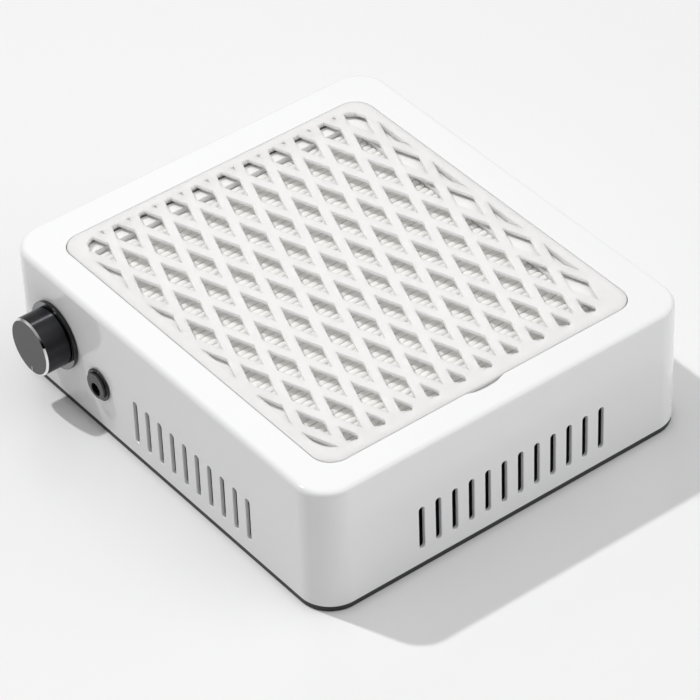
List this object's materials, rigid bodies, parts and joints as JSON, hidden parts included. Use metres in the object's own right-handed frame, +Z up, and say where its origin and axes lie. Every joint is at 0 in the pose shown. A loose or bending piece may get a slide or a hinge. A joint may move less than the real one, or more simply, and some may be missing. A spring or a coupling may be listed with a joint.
{
  "type": "nail dust collector",
  "caption": "Low white desktop casing with a lift-out diamond grille over a pleated filter and fan, side dial, round power inlet and wall vents.",
  "frame": {"origin": "middle of the object's footprint, dial included, on the surface that it stands on", "axes": "+Z up, +Y towards the back wall, -X towards the wall that has the dial and the power inlet"},
  "size_m": [0.2256, 0.236, 0.0697],
  "materials": {
    "white_case": "satin white moulding",
    "white_cover": "satin white moulding, slightly warm",
    "white_moulding": "plain white moulding",
    "filter_paper": "pleated translucent paper",
    "white_mark": "white inlay",
    "dial_metal": "dark anodised with a bright turned edge",
    "trim_black": "gloss black",
    "socket_black": "gloss black",
    "black_moulding": "plain black moulding",
    "rubber": "matt black rubber",
    "zinc_steel": "zinc plated",
    "bright_steel": "bright steel",
    "brass": "plated contact",
    "green_board": "solder mask",
    "red_lead": "insulated wire",
    "black_lead": "insulated wire"
  },
  "bodies": {
    "casing": {"upper_housing": "white_case", "base_plate": "black_moulding", "foot_front_left": "rubber", "foot_front_right": "rubber", "foot_back_left": "rubber", "foot_back_right": "rubber", "base_screw_1": "zinc_steel", "base_screw_2": "zinc_steel", "base_screw_3": "zinc_steel", "base_screw_4": "zinc_steel", "filter_tray": "white_moulding", "tray_screw_1": "zinc_steel", "tray_screw_2": "zinc_steel", "tray_screw_3": "zinc_steel", "tray_screw_4": "zinc_steel", "motor": "zinc_steel", "motor_mount": "zinc_steel", "vibration_damper_1": "rubber", "vibration_damper_2": "rubber", "vibration_damper_3": "rubber", "vibration_damper_4": "rubber", "mount_screw_1": "zinc_steel", "mount_screw_2": "zinc_steel", "mount_screw_3": "zinc_steel", "mount_screw_4": "zinc_steel", "motor_screw_1": "zinc_steel", "motor_screw_2": "zinc_steel", "dial_trim_ring": "trim_black", "pot_nut": "bright_steel", "potentiometer": "zinc_steel", "control_board": "green_board", "motor_driver": "black_moulding", "smoothing_capacitor": "black_moulding", "lead_connector": "white_moulding", "dc_socket": "socket_black", "socket_pin": "brass", "socket_nut": "bright_steel", "power_lead_red": "red_lead", "power_lead_black": "black_lead", "motor_lead": "black_lead"},
    "filter": {"filter_frame": "white_moulding", "filter_media": "filter_paper"},
    "grille": {"grille_cover": "white_cover"},
    "dial": {"speed_knob": "dial_metal", "knob_pointer": "white_mark", "pot_shaft": "bright_steel"},
    "fan_wheel": {"impeller": "black_moulding", "impeller_nut": "bright_steel", "motor_shaft": "bright_steel"}
  },
  "joints": [
    {"name": "filter_lift", "type": "slide", "parent": "casing", "child": "filter", "axis": [0, 0, 1], "range_m": [0, 0.045]},
    {"name": "grille_lift", "type": "slide", "parent": "filter", "child": "grille", "axis": [0, 0, 1], "range_m": [0, 0.045]},
    {"name": "dial_turn", "type": "hinge", "parent": "casing", "child": "dial", "pos_m": [-0.09725, 0.0808, 0.0364], "axis": [1, 0, 0], "range_deg": [0, 300]},
    {"name": "fan_spin", "type": "hinge", "parent": "casing", "child": "fan_wheel", "pos_m": [0.00725, -0.001, 0.028], "axis": [0, 0, 1], "continuous": true}
  ]
}
